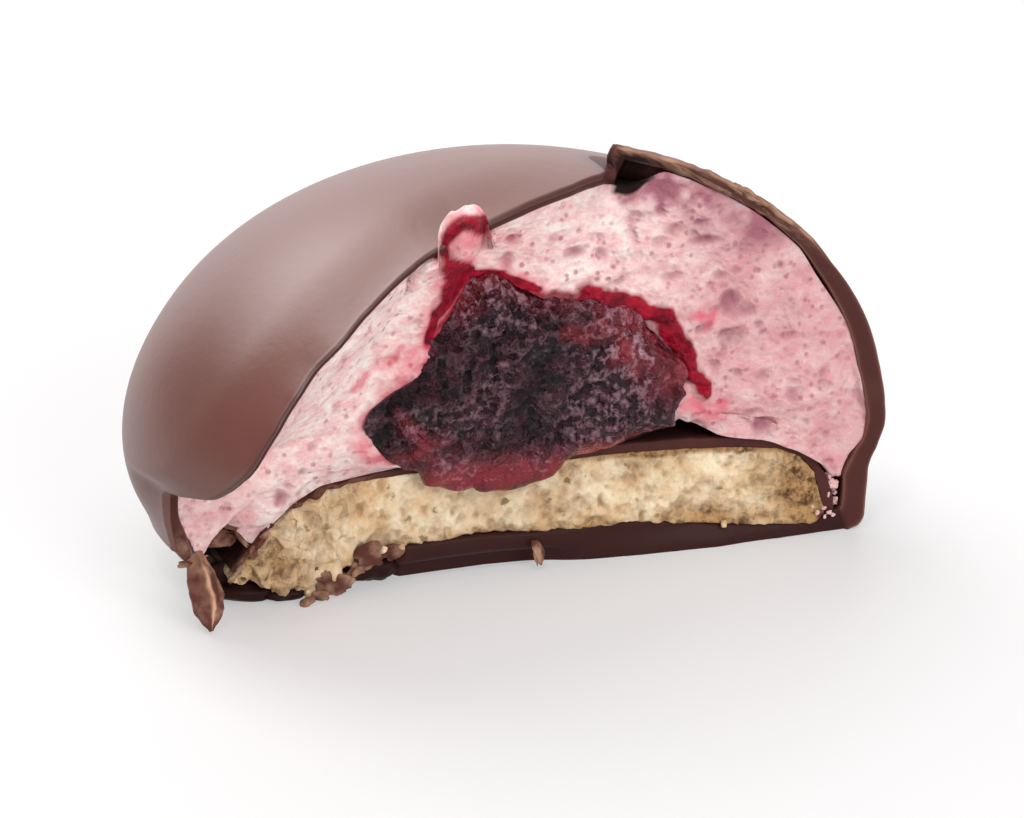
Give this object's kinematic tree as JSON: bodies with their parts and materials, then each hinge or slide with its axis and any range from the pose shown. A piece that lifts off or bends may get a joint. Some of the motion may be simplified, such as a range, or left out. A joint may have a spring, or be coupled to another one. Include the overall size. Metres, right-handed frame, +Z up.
{
  "type": "half chocolate-coated marshmallow cake",
  "caption": "Cut half of a domed chocolate-coated marshmallow cake with a jam pocket and a biscuit on its flat chocolate base.",
  "frame": {"origin": "middle of the bounding box on the plane of the flat base", "axes": "+X along the cut, left to right as the cut face is looked at; +Y from the cut face into the uncut dome; +Z up from the flat base"},
  "size_m": [0.0632, 0.0459, 0.0354],
  "materials": {
    "shell": "dark chocolate with a soft sheen",
    "marshmallow": "pink porous foam, matt",
    "jam": "dark wet fruit jam",
    "biscuit": "dry crumbly biscuit",
    "biscuit_film": "thin dark chocolate film"
  },
  "bodies": {
    "root": {"shell": "shell", "marshmallow": "marshmallow", "jam": "jam", "biscuit": "biscuit", "biscuit_film": "biscuit_film"}
  },
  "joints": []
}
